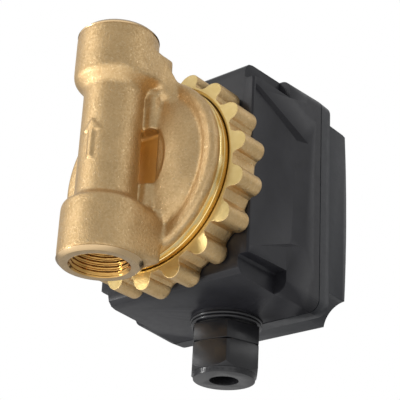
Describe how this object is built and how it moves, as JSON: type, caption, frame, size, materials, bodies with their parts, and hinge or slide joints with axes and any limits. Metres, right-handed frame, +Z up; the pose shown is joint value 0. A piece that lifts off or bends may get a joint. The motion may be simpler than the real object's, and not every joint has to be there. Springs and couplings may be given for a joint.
{
  "type": "hot water circulation pump",
  "caption": "Wet-rotor hot water circulation pump: cast brass in-line body with threaded ports, lobed union nut, boxed motor head with back cover and cable gland.",
  "frame": {"origin": "centre of the inlet port's end face", "axes": "+Z up the pipe with the flow, +Y from the pipe along the motor's axis to the back cover, +X to the right"},
  "size_m": [0.084, 0.1113, 0.1113],
  "materials": {
    "cast_brass": "sand cast, fine grain",
    "nut_brass": "sand cast lobes, machined front",
    "black_plastic": "satin moulded",
    "cover_plastic": "satin moulded",
    "gland_plastic": "satin moulded",
    "seal_rubber": "matt",
    "stainless": "drawn sheet",
    "carbon": "polished carbon",
    "ceramic": "ground ceramic",
    "rotor_steel": "ground",
    "moulded_polymer": "moulded",
    "lamination": "stacked sheet",
    "bobbin_plastic": "moulded",
    "copper_winding": "enamelled wire",
    "pin_metal": "tinned",
    "board_green": "lacquered",
    "zinc_screw": "zinc plated",
    "film_yellow": "dipped",
    "capacitor_sleeve": "shrunk sleeve",
    "terminal_green": "moulded"
  },
  "bodies": {
    "casting": {"volute_body": "cast_brass", "suction_plate": "moulded_polymer", "flange_o_ring": "seal_rubber"},
    "nut_ring": {"union_nut": "nut_brass"},
    "motor_head": {"motor_housing": "black_plastic", "separating_can": "stainless", "bearing_plate": "stainless", "front_bearing": "carbon", "rear_bearing": "carbon", "stator_core": "lamination", "coil_bobbins": "bobbin_plastic", "stator_coils": "copper_winding", "phase_pins": "pin_metal", "back_cover": "cover_plastic", "cover_gasket": "seal_rubber", "cover_screws": "zinc_screw", "control_board": "board_green", "board_screws": "zinc_screw", "film_capacitor": "film_yellow", "storage_capacitor": "capacitor_sleeve", "terminal_block": "terminal_green", "terminal_screws": "zinc_screw", "gland_body": "gland_plastic", "gland_washer": "seal_rubber", "gland_locknut": "gland_plastic", "gland_seal": "seal_rubber"},
    "rotor": {"rotor_shaft": "ceramic", "rotor_core": "rotor_steel", "thrust_washer": "ceramic", "impeller": "moulded_polymer", "impeller_shroud": "moulded_polymer"},
    "gland_cap": {"gland_nut": "gland_plastic"}
  },
  "joints": [
    {"name": "union_nut_turn", "type": "hinge", "parent": "casting", "child": "nut_ring", "pos_m": [0, 0.0295, 0.042], "axis": [0, 1, 0], "range_deg": [0, 90]},
    {"name": "motor_head_turn", "type": "hinge", "parent": "casting", "child": "motor_head", "pos_m": [0, 0.0315, 0.042], "axis": [0, 1, 0], "continuous": true},
    {"name": "rotor_spin", "type": "hinge", "parent": "motor_head", "child": "rotor", "pos_m": [0, 0.05, 0.042], "axis": [0, 1, 0], "continuous": true},
    {"name": "gland_nut_turn", "type": "hinge", "parent": "motor_head", "child": "gland_cap", "pos_m": [0, 0.069, -0.015], "axis": [0, 0, -1], "range_deg": [0, 90]}
  ]
}
